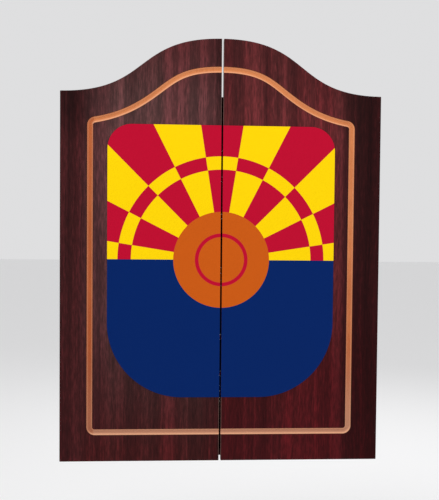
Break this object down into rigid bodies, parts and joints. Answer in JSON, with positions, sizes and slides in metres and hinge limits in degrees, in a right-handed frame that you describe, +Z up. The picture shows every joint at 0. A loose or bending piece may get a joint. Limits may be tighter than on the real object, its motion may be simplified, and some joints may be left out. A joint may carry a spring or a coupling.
{
  "type": "dart board cabinet",
  "caption": "Wall-hung wooden cabinet with two arched doors on butt hinges, a routed line and a printed badge, around a round sisal dart board on a bracket.",
  "frame": {"origin": "centre of the upper hanging rail's rear face, on the wall plane, midway between the two keyhole seats", "axes": "+X to the cabinet's right seen from the front, +Y into the wall, +Z up; the doors face -Y"},
  "size_m": [0.533, 0.1009, 0.7035],
  "materials": {
    "stained_wood": "dark mahogany stain, satin lacquer",
    "printed_vinyl": "printed vinyl, satin",
    "slate": "matt blackboard paint",
    "zinc_steel": "zinc plated",
    "brassed_steel": "antique brass plate",
    "catch_plastic": "moulded, matt",
    "chipboard": "raw board",
    "sisal": "cut fibre ends",
    "black_steel": "black paint",
    "wire": "galvanised wire",
    "rubber": "matt"
  },
  "bodies": {
    "root": {"left_side": "stained_wood", "right_side": "stained_wood", "top_panel": "stained_wood", "bottom_panel": "stained_wood", "back_panel": "stained_wood", "upper_hanging_rail": "stained_wood", "lower_hanging_rail": "stained_wood", "hanging_bracket": "zinc_steel", "left_keyhole_plate": "zinc_steel", "left_magnet_catch": "catch_plastic", "left_upper_hinge_frame_leaf": "brassed_steel", "left_upper_hinge_pin": "brassed_steel", "left_upper_hinge_frame_screw_1": "brassed_steel", "left_upper_hinge_frame_screw_2": "brassed_steel", "left_lower_hinge_frame_leaf": "brassed_steel", "left_lower_hinge_pin": "brassed_steel", "left_lower_hinge_frame_screw_1": "brassed_steel", "left_lower_hinge_frame_screw_2": "brassed_steel", "right_keyhole_plate": "zinc_steel", "right_magnet_catch": "catch_plastic", "right_upper_hinge_frame_leaf": "brassed_steel", "right_upper_hinge_pin": "brassed_steel", "right_upper_hinge_frame_screw_1": "brassed_steel", "right_upper_hinge_frame_screw_2": "brassed_steel", "right_lower_hinge_frame_leaf": "brassed_steel", "right_lower_hinge_pin": "brassed_steel", "right_lower_hinge_frame_screw_1": "brassed_steel", "right_lower_hinge_frame_screw_2": "brassed_steel"},
    "left_door_body": {"left_door": "stained_wood", "left_emblem": "printed_vinyl", "left_score_panel": "slate", "left_dart_rack": "stained_wood", "left_strike_plate": "zinc_steel", "left_upper_hinge_door_leaf": "brassed_steel", "left_upper_hinge_door_screw_1": "brassed_steel", "left_upper_hinge_door_screw_2": "brassed_steel", "left_lower_hinge_door_leaf": "brassed_steel", "left_lower_hinge_door_screw_1": "brassed_steel", "left_lower_hinge_door_screw_2": "brassed_steel"},
    "right_door_body": {"right_door": "stained_wood", "right_emblem": "printed_vinyl", "right_score_panel": "slate", "right_dart_rack": "stained_wood", "right_strike_plate": "zinc_steel", "right_upper_hinge_door_leaf": "brassed_steel", "right_upper_hinge_door_screw_1": "brassed_steel", "right_upper_hinge_door_screw_2": "brassed_steel", "right_lower_hinge_door_leaf": "brassed_steel", "right_lower_hinge_door_screw_1": "brassed_steel", "right_lower_hinge_door_screw_2": "brassed_steel"},
    "board_body": {"board_backer": "chipboard", "sisal_face": "sisal", "board_band": "black_steel", "wire_spider": "wire", "number_ring": "wire", "centre_screw": "zinc_steel", "board_pad_1": "rubber", "board_pad_2": "rubber", "board_pad_3": "rubber"}
  },
  "joints": [
    {"name": "left_door_hinge", "type": "hinge", "parent": "root", "child": "left_door_body", "pos_m": [-0.2644, -0.0851, -0.5727], "axis": [0, 0, -1], "range_deg": [0, 180]},
    {"name": "right_door_hinge", "type": "hinge", "parent": "root", "child": "right_door_body", "pos_m": [0.2644, -0.0851, -0.5727], "axis": [0, 0, 1], "range_deg": [0, 180]},
    {"name": "board_lift", "type": "slide", "parent": "root", "child": "board_body", "axis": [0, 0, 1], "range_m": [0, 0.02]}
  ]
}
